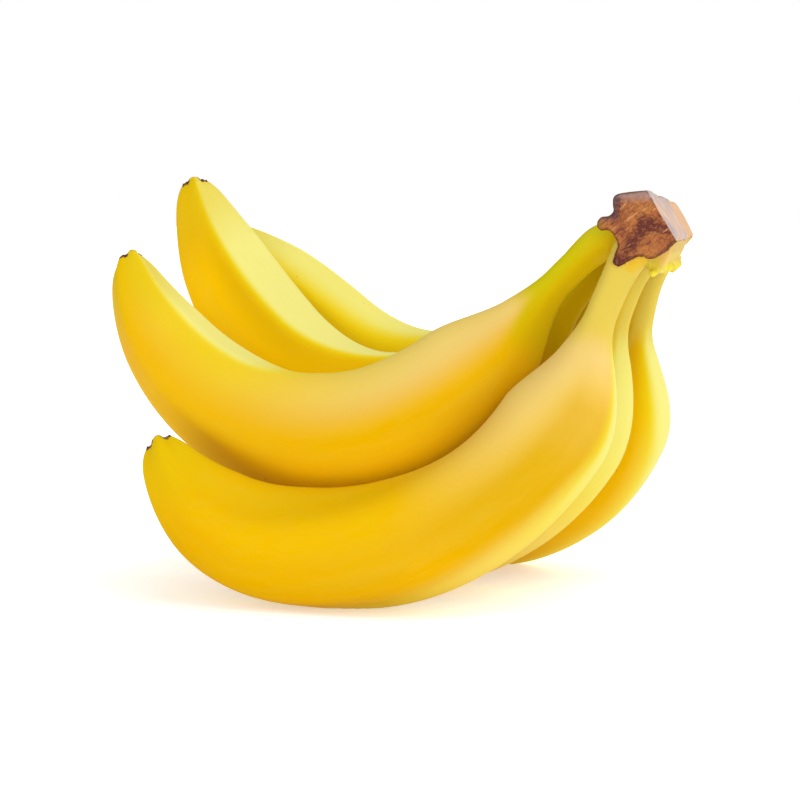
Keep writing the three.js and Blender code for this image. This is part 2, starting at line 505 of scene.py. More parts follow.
def painted_sheen_at(finger, share, round_front, over_top):
    """Painted sheen on the shoulders of the two front fingers, and painted light on the far sides of the
    outer row.
    """
    painted_sheen = 0
    if finger["name"] == "banana_inner_front":
        painted_sheen = ease(share, 0.13, 0.20) * (1 - 0.9 * ease(share, 0.28, 0.80)) * (1 - ease(over_top, 58, 106))
    if finger["name"] == "banana_outer_front":
        painted_sheen = ease(share, 0.12, 0.185) * (1 - ease(share, 0.20, 0.60))
        painted_sheen *= 1 - mix(0.8, 1.0, ease(share, 0.28, 0.36)) * gold_front(share, over_top)
    if outer(finger):
        by_the_belly = ease(share, 0.24, 0.36) * ease(share, 0.65, 0.45)
        painted_sheen = max(painted_sheen, 0.85 * far_side(finger, round_front) * by_the_belly)
    return painted_sheen


def painted_belly_shading_at(finger, share, round_front, over_top):
    """Painted shading: light on the inner row's bellies and the inner middle one's front, shade on the outer
    row's bellies and the front finger's front.
    """
    below = ease(round_front, 240, 180)
    belly = ease(round_front, 100, 140) * below * ease(share, 0.22, 0.35)
    if finger["name"] == "banana_outer_front":
        low = ease(round_front, 75, 105) * below * ease(share, 0.45, 0.62)
        # Painted shade on the front face of the front finger, past its shoulder.
        deep = mix(0.8, 0.35, ease(share, 0.40, 0.60)) * ease(over_top, 150, 120)
        deep *= gold_front(share, over_top)
        return max(belly, 0.8 * low, deep) * ease(share, 0.97, 0.85)
    if outer(finger):
        return 0.4 * belly
    belly *= ease(share, 0.72, 0.55) * ease(share, 0.28, 0.45)
    if finger["name"] == "banana_inner_middle":
        # Painted light on the front of the inner middle finger, towards its nose.
        return max(belly, 0.5 * ease(round_front, 40, 70) * below * ease(share, 0.94, 0.82))
    return belly


def neck_shade(finger, round_front):
    """0 where the neck is painted in shade, 1 where it is painted lit."""
    if finger["name"] == "banana_outer_front":
        return 1.0
    behind_it = ease(round_front, 330, 290)
    if outer(finger):
        return ease(round_front, *RIPE_NECK_TURNS[finger["name"]]) * behind_it
    return 1 - ease(round_front, 55, 115) * behind_it


def shade_sides(skin, finger):
    """Writes four notes of painted light and shade on a finger's vertices: lit pale yellow, sheen, belly and
    neck.
    """
    share_note, angle_note = notes(skin, "share", "angle")
    side_notes = notes(skin, "lit_lemon", "painted_sheen", "under", "neck")
    for vert in skin.verts:
        round_front = vert[angle_note]
        over_top = round_front - 360 if round_front > 270 else round_front
        spot = (finger, vert[share_note], round_front, over_top)
        values = (lit_lemon_at(*spot), painted_sheen_at(*spot), painted_belly_shading_at(*spot), neck_shade(finger, round_front))
        for note, value in zip(side_notes, values):
            vert[note] = value


# Prints how strong the painted sheen is on the front finger's shoulder.
print("wax on the shoulder of", FINGERS[0]["name"], "is", round(painted_sheen_at(FINGERS[0], 0.19, 30, 30), 2))

# %% [markdown]
# ## Six fingers
# Each finger is rolled, closed at both ends, shaded and made a piece. The bellies that touch the table are
# pressed level there. The neck starts inside the crown's own piece, so that no seam shows.

# %% Make a finger
NECK_HIDDEN = 11.0  # how much of each neck the crown's piece takes over, mm


def piece_from(skin, name, material):
    """Turns a bmesh into a piece that rides with the bunch."""
    bmesh.ops.recalc_face_normals(skin, faces=skin.faces)
    for face in skin.faces:
        face.smooth = True
    mesh = bpy.data.meshes.new(name)
    skin.to_mesh(mesh)
    skin.free()
    mesh.materials.append(material)
    piece = bpy.data.objects.new(name, mesh)
    scene.collection.objects.link(piece)
    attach(piece, "root")
    return piece


def make_finger(finger, material):
    first = NECK_HIDDEN / finger["length"]
    skin = rolled(finger, first, 1, SIDES, RINGS, dent(finger))
    for vert in skin.verts:
        vert.co.z = max(0.0, vert.co.z)
    close_nose(skin, finger)
    close_root(skin, first)
    bmesh.ops.recalc_face_normals(skin, faces=skin.faces)
    shade_sides(skin, finger)
    piece = piece_from(skin, finger["name"] + "_peel", material)
    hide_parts(finger["name"])
    return piece


print("each finger has", SIDES * RINGS, "faces along its skin")

# %% [markdown]
# ## Paint from nodes
# Every finish here is built from shader nodes. Wiring them one by one takes many lines, so a small class
# does it: each of its methods adds one node and hands on its output. An image could be wrapped round
# instead, but nodes stay sharp at any distance and follow the notes on the vertices.

# %% A short hand for shader nodes


class Paint:
    """Adds nodes to a material and wires them as they are made."""

    def __init__(self, name):
        self.material = bpy.data.materials.new(name)
        self.material.use_nodes = True
        self.tree = self.material.node_tree
        self.shader = self.tree.nodes["Principled BSDF"]

    def put(self, socket, value):
        """Wires a socket to another, or sets a plain value on it."""
        if isinstance(value, bpy.types.NodeSocket):
            self.tree.links.new(value, socket)
        elif isinstance(value, (tuple, list)) and len(value) == 3 and socket.type == "RGBA":
            socket.default_value = (*value, 1.0)
        else:
            socket.default_value = value

    def node(self, kind, inputs=(), **settings):
        made = self.tree.nodes.new(kind)
        for key, value in settings.items():
            setattr(made, key, value)
        for key, value in dict(inputs).items():
            self.put(made.inputs[key], value)
        return made

    def note(self, name, vector=False):
        made = self.node("ShaderNodeAttribute", attribute_name=name)
        return made.outputs["Vector" if vector else "Fac"]

    def own_place(self):
        return self.node("ShaderNodeTexCoord").outputs["Object"]

    def moved(self, place, how):
        """The place shifted, turned or stretched: how names the setting and its three values."""
        return self.node("ShaderNodeMapping", {"Vector": place, **how}).outputs["Vector"]

    def grain(self, place, scale, detail=3.0, rough=0.5):
        """Noise from 0 to 1."""
        inputs = {"Vector": place, "Scale": scale, "Detail": detail, "Roughness": rough}
        return self.node("ShaderNodeTexNoise", inputs).outputs["Fac"]

    def maths(self, operation, *values):
        made = self.node("ShaderNodeMath", operation=operation)
        for socket, value in zip(made.inputs, values):
            self.put(socket, value)
        return made.outputs[0]

    def plus(self, first, second):
        return self.maths("ADD", first, second)

    def times(self, first, second):
        return self.maths("MULTIPLY", first, second)

    def swing(self, noise_value, width):
        """Noise moved to lie evenly about zero, and made width wide."""
        return self.times(self.maths("SUBTRACT", noise_value, 0.5), width)

    def fade(self, value, low, high, out_low=0.0, out_high=1.0):
        """out_low below low, out_high above high, smooth between them."""
        made = self.node("ShaderNodeMapRange", {
            "Value": value, "From Min": low, "From Max": high, "To Min": out_low, "To Max": out_high,
        }, interpolation_type="SMOOTHSTEP")
        return made.outputs["Result"]

    def blend(self, share, first, second):
        """The first colour where share is 0, the second where it is 1."""
        made = self.node("ShaderNodeMix", data_type="RGBA")
        self.put(made.inputs["Factor"], share)
        self.put(made.inputs[6], first)
        self.put(made.inputs[7], second)
        return made.outputs[2]

    def lay(self, under, over, value, low, high, strength=1.0):
        """Lays a colour over another, more and more as the value goes from low to high."""
        return self.blend(self.fade(value, low, high, 0.0, strength), under, over)

    def bump(self, height, strength, distance, under=None):
        inputs = {"Height": height, "Strength": strength, "Distance": distance}
        if under is not None:
            inputs["Normal"] = under
        return self.node("ShaderNodeBump", inputs).outputs["Normal"]

    def finish(self, colour, smooth, dry, is_dry, gloss, normal):
        """Wires the shader. smooth and dry are the roughness of the two kinds of place."""
        inputs = {"Factor": is_dry, "A": smooth, "B": dry}
        rough = self.node("ShaderNodeMix", inputs, data_type="FLOAT").outputs[0]
        for name, value in {
            "Base Color": colour, "Roughness": rough, "Normal": normal,
            "Specular IOR Level": gloss, "Specular Tint": PEEL_GLOSS_TINT,
        }.items():
            self.put(self.shader.inputs[name], value)
        return self.material


PEEL_GLOSS_TINT = (1.0, 0.75, 0.05, 1.0)
print("the class Paint has", sum(callable(part) for part in vars(Paint).values()), "methods")

# %% [markdown]
# ## Peel
# Ripe peel is golden yellow with a faint grain that runs lengthways. Its soft, broad sheen is painted as
# pale tan on the shoulders, beside painted light on the lit faces and painted shading on bellies and necks.
# The inner row's necks are still green, the outer row's are ripe. The nose is a little olive, and its torn
# rim is dark brown with a straw-coloured peak. The paint reads the notes on the vertices, so the grain
# follows each bend. Paint on object coordinates would cut straight through the curve.

# %% Peel colours
GOLD = (0.68, 0.38, 0.0)
DEEP_GOLD = (0.68, 0.35, 0.0)
# Painted light on the inner row's bellies, and painted shade on the outer row's.
INNER_BELLY_PAINTED_LIGHT = (0.95, 0.57, 0.0)
OUTER_BELLY_PAINTED_SHADE = (0.57, 0.31, 0.0)
# Painted light: the pale yellow and the cream of the faces that the lamps light.
LIT_LEMON_YELLOW = (0.68, 0.62, 0.01)
LIT_LEMON_CREAM = (0.68, 0.64, 0.23)
# Painted sheen: the pale tan of a soft highlight on the shoulders and on the lit far sides.
PAINTED_SHEEN_TAN = (0.69, 0.48, 0.15)
NECK_YELLOW = (0.61, 0.46, 0.07)
# Painted shade of a ripe neck.
SHADED_NECK_GOLD = (0.66, 0.42, 0.005)
NECK_GREEN = (0.5, 0.43, 0.005)
# Painted shade of a green neck, also on the crown's skin.
SHADED_NECK_OLIVE = (0.56, 0.375, 0.002)
NOSE_OLIVE = (0.58, 0.42, 0.003)
SCAR_BROWN = (0.085, 0.036, 0.016)
SCAR_TAN = (0.33, 0.17, 0.07)
SCAR_STRAW = (0.56, 0.34, 0.1)
FRECKLE = (0.42, 0.21, 0.02)


def ripe_colour(paint, shifted, lengthways, green_neck):
    """Gold with painted shading on the belly, a painted sheen on the shoulders and painted light on the pale
    sides.
    """
    clouds = paint.grain(shifted, 32.0, 2.0)
    colour = paint.lay(GOLD, DEEP_GOLD, clouds, 0.35, 0.75, 0.5)
    # Painted shading of the bellies: lighter on the inner row, darker on the outer row.
    colour = paint.blend(paint.note("under"), colour, INNER_BELLY_PAINTED_LIGHT if green_neck else OUTER_BELLY_PAINTED_SHADE)
    uneven = paint.swing(paint.grain(lengthways, 60.0, 2.0), 0.25)
    # Painted sheen, pale tan, where the shoulders and the outer row's far sides catch the light.
    colour = paint.blend(paint.plus(paint.note("painted_sheen"), uneven), colour, PAINTED_SHEEN_TAN)
    # Painted light: pale yellow on the faces the lamps light, cream where they light them most.
    lit_lemon = paint.plus(paint.note("lit_lemon"), uneven)
    colour = paint.blend(lit_lemon, colour, LIT_LEMON_YELLOW)
    return paint.lay(colour, LIT_LEMON_CREAM, lit_lemon, 0.40, 1.0, 0.8)


def ends_over(paint, colour, lengthways, green_neck):
    """The neck's painted shade and painted light, and the olive tinge of the nose."""
    near_root = paint.plus(paint.note("share"), paint.swing(paint.grain(lengthways, 70.0, 3.0), 0.06))
    # Painted shade: the shaded colour of a neck reaches a little further down the finger.
    shade_reach = paint.fade(paint.note("neck"), 1.0, 0.0, 0.0, 0.05)
    shaded_neck, lit_neck = (SHADED_NECK_OLIVE, NECK_GREEN) if green_neck else (SHADED_NECK_GOLD, NECK_YELLOW)
    neck = paint.blend(paint.note("neck"), shaded_neck, lit_neck)
    colour = paint.lay(colour, neck, paint.maths("SUBTRACT", near_root, shade_reach), 0.20, 0.14)
    return paint.lay(colour, NOSE_OLIVE, near_root, 0.86, 0.99, 0.55)


def freckles_over(paint, colour, shifted):
    cells = paint.node("ShaderNodeTexVoronoi", {"Vector": shifted, "Scale": 130.0, "Randomness": 1.0})
    speck = paint.fade(cells.outputs["Distance"], 0.075, 0.03)
    chosen = paint.fade(paint.grain(shifted, 45.0, 1.0), 0.60, 0.66, 0.0, 0.5)
    return paint.blend(paint.times(speck, chosen), colour, FRECKLE)


def scar_over(paint, colour, shifted):
    """The dry nose, and how far a place belongs to it, from 0 to 1."""
    charred = paint.fade(paint.note("sunk"), -1.0, -0.4)
    tear = paint.swing(paint.grain(shifted, 500.0, 3.0), 1.6)
    dry = paint.plus(paint.plus(paint.note("dry"), tear), paint.times(charred, 0.65))
    scar = paint.lay(SCAR_BROWN, SCAR_TAN, paint.grain(shifted, 900.0, 3.0), 0.45, 0.7, 0.7)
    scar = paint.blend(charred, SCAR_STRAW, scar)
    is_scar = paint.fade(dry, -0.25, 0.25)
    colour = paint.lay(colour, NOSE_OLIVE, dry, -2.2, 0.0, 0.45)
    return paint.blend(is_scar, colour, scar), is_scar


print("ripe peel, as red, green and blue:", GOLD)

# %% Paint and make the six fingers
def peel_paint(name, green_neck, seed):
    """Peel for one finger, with a neck that is still green or ripe."""
    paint = Paint(name)
    straight = paint.note("straight", vector=True)
    shifted = paint.moved(straight, {"Location": (seed, seed * 0.7, 0.0)})
    lengthways = paint.moved(shifted, {"Scale": (1.0, 1.0, 0.12)})
    fibres = paint.grain(lengthways, 900.0, 2.0, 0.6)

    colour = ripe_colour(paint, shifted, lengthways, green_neck)
    colour = paint.lay(colour, NECK_YELLOW, fibres, 0.3, 0.8, 0.08)
    colour = ends_over(paint, colour, lengthways, green_neck)
    colour = freckles_over(paint, colour, shifted)
    colour, is_scar = scar_over(paint, colour, shifted)

    sheen = paint.fade(paint.grain(shifted, 140.0, 3.0), 0.3, 0.7, 0.42, 0.50)
    pores = paint.bump(paint.grain(shifted, 1500.0, 2.0), 0.10, 0.0002)
    along = paint.bump(fibres, 0.12, 0.0003, pores)
    crumbs = paint.bump(paint.grain(shifted, 700.0, 3.0), paint.times(is_scar, 0.9), 0.0006, along)
    paint.shader.inputs["IOR"].default_value = 1.25
    return paint.finish(colour, sheen, 0.85, is_scar, 0.03, crumbs)


for number, finger in enumerate(FINGERS):
    name = finger["name"]
    piece = make_finger(finger, peel_paint(name + "_paint", not outer(finger), 0.31 * number))
    print(piece.name, len(piece.data.polygons), "faces")

# %% [markdown]
# ## The crown
# The crown is the stump of stalk that the fingers grew from. A knife cut it at the front and at the back,
# which left red-brown fibrous faces with torn edges. The older cut along its right side has dried to a pale
# grey pink. Skin covers the rest, hangs down on the right as a skirt with a dried, lumpy hem, and runs over
# the necks without a seam. One block could be sculpted into all that, but plain parts are easier to place
# and to correct: a bar, a torn plate, a skirt, a hem and six neck roots. They are fused afterwards.

# %% The bar
BAR_CORNERS = [
    (77.5, 130.6), (81.0, 131.7), (87.4, 132.0), (91.4, 126.2), (95.8, 118.3), (92.4, 114.6),
    (86.0, 113.2), (80.0, 113.4), (77.5, 117.0), (76.8, 121.0), (76.7, 126.0),
]
BAR_FRONT = -25.5
BAR_BACK = 33
BAR_CENTRE = (80, 119)
BAR_TAPER = 0.74
BAR_LEAN = -4.4
SLICES = 24


def prism(outline, front, back, slices):
    """A closed block that runs from front to back along Y, in millimetres."""
    block = bmesh.new()
    rows = []
    for i in range(slices + 1):
        y = mix(front, back, i / slices)
        rows.append([block.verts.new((x, y, z)) for x, z in outline])
    count = len(outline)
    for near, far in zip(rows, rows[1:]):
        for k in range(count):
            block.faces.new((near[k], near[(k + 1) % count], far[(k + 1) % count], far[k]))
    block.faces.new(rows[0])
    block.faces.new(rows[-1])
    return block


def finished(block):
    """Moves a block from the grower's frame to its place and turns its faces out."""
    for vert in block.verts:
        vert.co = placed(vert.co)
    bmesh.ops.recalc_face_normals(block, faces=block.faces)
    return block


def backward(y):
    """0 at the front of the bar, 1 at its back."""
    return (y - BAR_FRONT) / (BAR_BACK - BAR_FRONT)


def tapered(x, y, z):
    narrow = mix(1, BAR_TAPER, backward(y))
    return Vector((BAR_CENTRE[0] + (x - BAR_CENTRE[0]) * narrow + BAR_LEAN * backward(y), y,
                   BAR_CENTRE[1] + (z - BAR_CENTRE[1]) * narrow))


def crown_bar():
    bar = prism(BAR_CORNERS, BAR_FRONT, BAR_BACK, SLICES)
    for vert in bar.verts:
        vert.co = tapered(*vert.co)
    return finished(bar)


print("the bar is", BAR_BACK - BAR_FRONT, "mm deep")

# %% The torn plate, the skirt and its hem
TORN_EDGE = [
    (76.6, 130.1), (77.4, 131.0), (79.4, 131.4), (83.7, 131.9), (86.7, 132.1), (87.6, 131.7), (88.2, 129.7),
    (90.2, 127.2), (92.3, 124.3), (94.0, 122.0), (95.1, 119.9), (95.8, 118.3), (94.1, 117.0), (92.4, 115.0),
    (90.7, 113.7), (88.6, 112.5), (86.9, 112.4), (85.6, 113.7), (83.9, 113.2), (81.7, 112.2), (79.6, 110.9),
    (78.1, 110.4), (77.2, 111.2), (77.7, 113.6), (78.4, 115.7), (78.2, 117.4), (77.4, 118.4), (76.3, 120.3),
    (74.7, 121.0), (73.0, 120.7), (71.8, 121.5), (71.8, 123.0), (73.0, 124.5), (74.3, 124.4), (75.8, 124.8),
    (76.9, 126.2), (76.6, 128.3),
]
PLATE_FRONT = -27.6
PLATE_BACK = -24.6
TONGUE_TOP = 114.5
TONGUE_SLOPE = 0.35
SKIRT_CORNERS = [(86, 118), (94.9, 118), (91.0, 110.5), (89.6, 107.8), (85.5, 107.8)]
SKIRT_FRONT = -19
SKIRT_BACK = 28
HEM_FRONT = -20
HEM_X = 90.0
HEM_Z = 108.4
HEM_LUMPS = 26
LUMP_RADIUS = 1.25
LUMP_SHAPE = (1.0, 1.5, 1.25)


def tongue_bend(z):
    """How far the tear's lowest tongue bends forward at a height."""
    return TONGUE_SLOPE * max(0, TONGUE_TOP - z)


def torn_plate():
    """The front slice, as wide as the tear. Its tongue bends over the front neck."""
    plate = prism(TORN_EDGE, PLATE_FRONT, PLATE_BACK, 1)
    for vert in plate.verts:
        vert.co.y -= tongue_bend(vert.co.z)
    return finished(plate)


def hem_wave(y):
    """How far the lower edge of the skirt hangs above or below its mean height."""
    return 1.5 * wave(y * 0.13, 4.4, 0) + 0.8 * wave(y * 0.45, 9.1, 0)


def skirt():
    """The loose skin that hangs from the right side of the bar over the outer necks."""
    skin = prism(SKIRT_CORNERS, SKIRT_FRONT, SKIRT_BACK, SLICES)
    for vert in skin.verts:
        x, y, z = vert.co
        vert.co = tapered(x, y, z + hem_wave(y) * ease(z, 112, 108))
    return finished(skin)


def hem():
    """Dried lumps where that skin ends."""
    lumps = bmesh.new()
    for i in range(HEM_LUMPS):
        back = i / (HEM_LUMPS - 1)
        roll = noise.random_vector().normalized()
        at = tapered(HEM_X - 3.0 * ease(-back, -0.16, 0.0), mix(HEM_FRONT, BAR_BACK - 3, back), HEM_Z)
        at += Vector((roll.x * 0.9 + 0.2, roll.y, roll.z * 0.9 + hem_wave(at.y)))
        size = LUMP_RADIUS + 0.55 * wave(i * 1.7, 3.1, 0)
        made = bmesh.ops.create_icosphere(lumps, subdivisions=2, radius=size)["verts"]
        bmesh.ops.scale(lumps, verts=made, vec=LUMP_SHAPE)
        bmesh.ops.translate(lumps, verts=made, vec=at)
    return finished(lumps)


print("the tear has", len(TORN_EDGE), "corners, the hem", HEM_LUMPS, "lumps")

# %% [markdown]
# ## From blocks to one stump
# The parts are put in one mesh, and a voxel remesh keeps only their outer surface, as an even net of small
# squares. Smoothed, it has soft webs between the necks, where a boolean would leave hard creases.

# %% Neck roots, and all of it fused
ROOT_SHOWN = 20.0
ROOT_CAP = -0.9
ROOT_CAP_ENDS = 9
ROOT_BEND = Vector((4.5, 0, -0.5))
ROOT_BEND_ENDS = 10
ROOT_SWELL = 0.75
ROOT_SINK = -0.25
ROOT_GRID = (32, 16)
VOXEL = 0.42


def neck_root(finger):
    """The top of a neck, a little fatter than the finger's skin. Inner ones bend into the bar."""
    length = finger["length"]
    last = ROOT_SHOWN / length

    def swell(share, angle):
        upper = mix(ROOT_CAP, ROOT_SWELL, ease(share * length, 0, ROOT_CAP_ENDS))
        return mix(upper, ROOT_SINK, share / last)

    root = rolled(finger, 0, last, *ROOT_GRID, swell)
    if not outer(finger):
        share_note = notes(root, "share")[0]
        for vert in root.verts:
            vert.co += ROOT_BEND * (1 - ease(vert[share_note] * length, 0, ROOT_BEND_ENDS)) * MM
    bmesh.ops.holes_fill(root, edges=[e for e in root.edges if e.is_boundary])
    bmesh.ops.recalc_face_normals(root, faces=root.faces)
    return root


def joined(parts, name):
    """One mesh that holds several bmesh shells."""
    whole = bpy.data.meshes.new(name)
    both = bmesh.new()
    for part in parts:
        part.to_mesh(whole)
        both.from_mesh(whole)
        part.free()
    both.to_mesh(whole)
    both.free()
    return whole


def remeshed(mesh, voxel_mm):
    """The outer surface of a mesh as an even net of small squares."""
    holder = bpy.data.objects.new("remesh", mesh)
    scene.collection.objects.link(holder)
    net = holder.modifiers.new("net", "REMESH")
    net.mode = "VOXEL"
    net.voxel_size = voxel_mm * MM
    ready = holder.evaluated_get(bpy.context.evaluated_depsgraph_get())
    made = bpy.data.meshes.new_from_object(ready)
    bpy.data.objects.remove(holder)
    return made


noise.seed_set(7)
crown_parts = [crown_bar(), torn_plate(), skirt(), hem()] + [neck_root(finger) for finger in FINGERS]
crown_net = remeshed(joined(crown_parts, "crown_net"), VOXEL)
print("crown net has", len(crown_net.vertices), "corners")

# %% [markdown]
# ## Where the crown is torn
# How far a vertex lies inside each cut is noted in millimetres. The distance raises a dry lip along the
# edge, and later it parts skin and cut in the paint more finely than the net could. The wood rotted first
# along a few hollows, and the hem dried, so those are noted too.

# %% Measures on the crown
FIBRE_TILT = math.radians(38)
HOLLOWS = [
    # from and to as (x, z) on the front face, then how wide, mm
    ((78.0, 111.0), (86.5, 123.0), 2.3),
    ((85.5, 122.5), (93.2, 121.0), 1.7),
    ((77.2, 124.8), (77.8, 129.6), 1.2),
]
OLD_CUT_AT = (87.4, 132.0)
OLD_CUT_FACES = (0.852, 0.523)
OLD_CUT_REACH = 0.75
FRONT_REACH = 0.3
PLATE_REACH = 0.5
BACK_REACH = (1.2, 1.6)  # past the bar's outline, and in front of its back end


def from_line(x, z, start, end):
    """How far (x, z) lies from a straight line between two points."""
    run = Vector((end[0] - start[0], end[1] - start[1]))
    out = Vector((x - start[0], z - start[1]))
    return (out - run * min(1, max(0, out.dot(run) / run.length_squared))).length


def inside_outline(x, z, outline):
    """Millimetres inside a closed outline, less than 0 outside it."""
    nearest = 1e9
    inside = False
    for (x0, z0), (x1, z1) in zip(outline, outline[1:] + outline[:1]):
        nearest = min(nearest, from_line(x, z, (x0, z0), (x1, z1)))
        if (z0 > z) != (z1 > z) and x < x0 + (z - z0) / (z1 - z0) * (x1 - x0):
            inside = not inside
    return nearest if inside else -nearest


def untapered(at):
    """Where a point of the bar would lie in the outline of its front end."""
    narrow = mix(1, BAR_TAPER, backward(at.y))
    return ((at.x - BAR_LEAN * backward(at.y) - BAR_CENTRE[0]) / narrow + BAR_CENTRE[0],
            (at.z - BAR_CENTRE[1]) / narrow + BAR_CENTRE[1])


def cut_depths(at):
    """Millimetres inside the front tear, the back cut, the old cut and the bar's outline."""
    front = inside_outline(at.x, at.z, TORN_EDGE) + FRONT_REACH
    front = min(front, PLATE_BACK + PLATE_REACH - tongue_bend(at.z) - at.y)
    x, z = untapered(at)
    in_bar = inside_outline(x, z, BAR_CORNERS)
    back = min(in_bar + BACK_REACH[0], at.y - BAR_BACK + BACK_REACH[1])
    old = (x - OLD_CUT_AT[0]) * OLD_CUT_FACES[0] + (z - OLD_CUT_AT[1]) * OLD_CUT_FACES[1] + OLD_CUT_REACH
    return front, back, old, in_bar


def hollow_at(x, z):
    return sum(math.exp(-(from_line(x, z, start, end) / wide) ** 2) for start, end, wide in HOLLOWS)


def neck_colours(at):
    """How green the skin is at a point of the crown, and its neck shade, from the necks that lie near it."""
    total = green = shade = 0
    for finger in FINGERS:
        along, side = heading(finger, 0.03)
        way = at - Vector(finger["root"])
        off_line = way - along * max(0, way.dot(along))
        round_front = math.degrees(math.atan2(off_line.dot(side), off_line.dot(along.cross(side))))
        weight = 1 / (1 + off_line.length) ** 4
        total += weight
        green += weight * (not outer(finger))
        shade += weight * neck_shade(finger, (round_front - finger["facing"][0]) % 360)
    return green / total, shade / total


def hem_at(at):
    """1 on the hem of the skirt, 0 above and below it and on the other sides."""
    by_height = ease(at.z, 111.6, 109.4) * ease(at.z, 104.5, 106.5)
    return by_height * ease(at.x - BAR_LEAN * backward(at.y), 83.5, 86.5)


print("the middle of the tear lies", round(inside_outline(85, 122, TORN_EDGE), 1), "mm inside its edge")

# %% [markdown]
# ## Relief of the crown
# Four kinds of unevenness are added along the normals: a dry lip round each tear, strands and hollows in
# the cut, small folds in the skin, and a slow swell, because behind its torn front the bar is never quite
# straight. Sculpting by hand would do it too, but numbers can be read and changed.

# %% Shape the crown
LIP_HEIGHT = 0.30
LIP_WIDTH = 0.6
FIBRE_DEPTH = 0.50
HOLLOW_DEPTH = 0.8
FOLD_DEPTH = 0.35
CUSHION_SWELL = 1.3
SKIN_SMOOTHING = 12
EDGE_SMOOTHING = 3


def relief(at, cut, hollow, in_bar):
    """How far the surface is raised at a point, mm."""
    lengthways = at.x * math.cos(FIBRE_TILT) + at.z * math.sin(FIBRE_TILT)
    across = at.z * math.cos(FIBRE_TILT) - at.x * math.sin(FIBRE_TILT)
    strand = wave(lengthways * 0.12, across * 0.8, at.y * 0.3)
    lump = noise.noise(at * 0.25)
    lip = LIP_HEIGHT * math.exp(-(cut / LIP_WIDTH) ** 2)
    torn = (FIBRE_DEPTH * (strand + 1.1 * lump) - HOLLOW_DEPTH * min(1, hollow)) * ease(cut, 0.2, 1.8)
    fold = FOLD_DEPTH * wave(at.x * 0.10, at.y * 0.32, at.z * 0.06)
    fold *= ease(-cut, 0, 2) * ease(at.z, 108, 113)
    cushion = CUSHION_SWELL * wave(at.x * 0.05, at.y * 0.11, at.z * 0.05)
    cushion *= ease(at.y, -22, -8) * ease(in_bar, -1.6, -0.6) * ease(at.x, 77, 82)
    return lip + torn + fold + cushion


shape = bmesh.new()
shape.from_mesh(crown_net)
NAMES = ("cut", "back_cut", "stalk_cut", "hollow", "green", "neck", "hem")
for name in NAMES:
    shape.verts.layers.float.new(name)
crown_notes = notes(shape, *NAMES)
behind = [v for v in shape.verts if v.co.y / MM + RESTING_PLACE.y > PLATE_BACK + 0.6]
for turn in range(SKIN_SMOOTHING):
    chosen = behind if turn >= EDGE_SMOOTHING else shape.verts
    bmesh.ops.smooth_vert(shape, verts=chosen, factor=0.5, use_axis_x=True, use_axis_y=True, use_axis_z=True)
shape.normal_update()
for vert in shape.verts:
    at = vert.co / MM + RESTING_PLACE
    front, back, old, in_bar = cut_depths(at)
    hollow = hollow_at(at.x, at.z)
    values = (front, back, old, hollow, *neck_colours(at), hem_at(at))
    for note, value in zip(crown_notes, values):
        vert[note] = value
    vert.co += vert.normal * relief(at, max(front, back), hollow, in_bar) * MM
print("cut face corners:", sum(vert[crown_notes[0]] > 0 for vert in shape.verts))

# %% [markdown]
# ## Paint for the crown
# Three finishes meet here. Skin like the necks' is golden round the cut, with the necks' painted shade, and
# dried to tan above the skirt's yellow hem. The fresh cut is red-brown with lighter strands, a fine netting,
# dark maroon hollows and a painted shadow along its upper left edge. The old cut is pale with one brown
# vein.
# Each border is the noted distance plus a little noise, which tears it finely.

# %% Colours of the crown
CUT_RED = (0.24, 0.072, 0.034)
CUT_ORANGE = (0.43, 0.155, 0.045)
CUT_DARK = (0.095, 0.022, 0.026)
CUT_GREY = (0.3, 0.22, 0.22)
CUT_STRAND = (0.68, 0.36, 0.15)
# Painted shadow on the cut's upper left edge.
CUT_PAINTED_SHADOW = (0.11, 0.06, 0.07)
CUT_FLECK = (0.48, 0.17, 0.06)
LOBE_TAN = (0.38, 0.2, 0.03)
CUT_EDGE = (0.06, 0.018, 0.014)
OLD_PINK = (0.68, 0.44, 0.31)
OLD_GREY = (0.43, 0.36, 0.35)
OLD_TAN = (0.7, 0.39, 0.17)
OLD_VEIN = (0.23, 0.08, 0.04)
SKIN_TAN = (0.55, 0.37, 0.07)
HEM_YELLOW = (0.68, 0.58, 0.04)
# Places are read from the piece itself, so these are in metres.
VEIN_PLACE = -0.0005
VEIN_EDGES = (0.0010, 0.0003)
GREY_ABOVE = 0.1200
OLD_SLOPE = math.radians(-58)


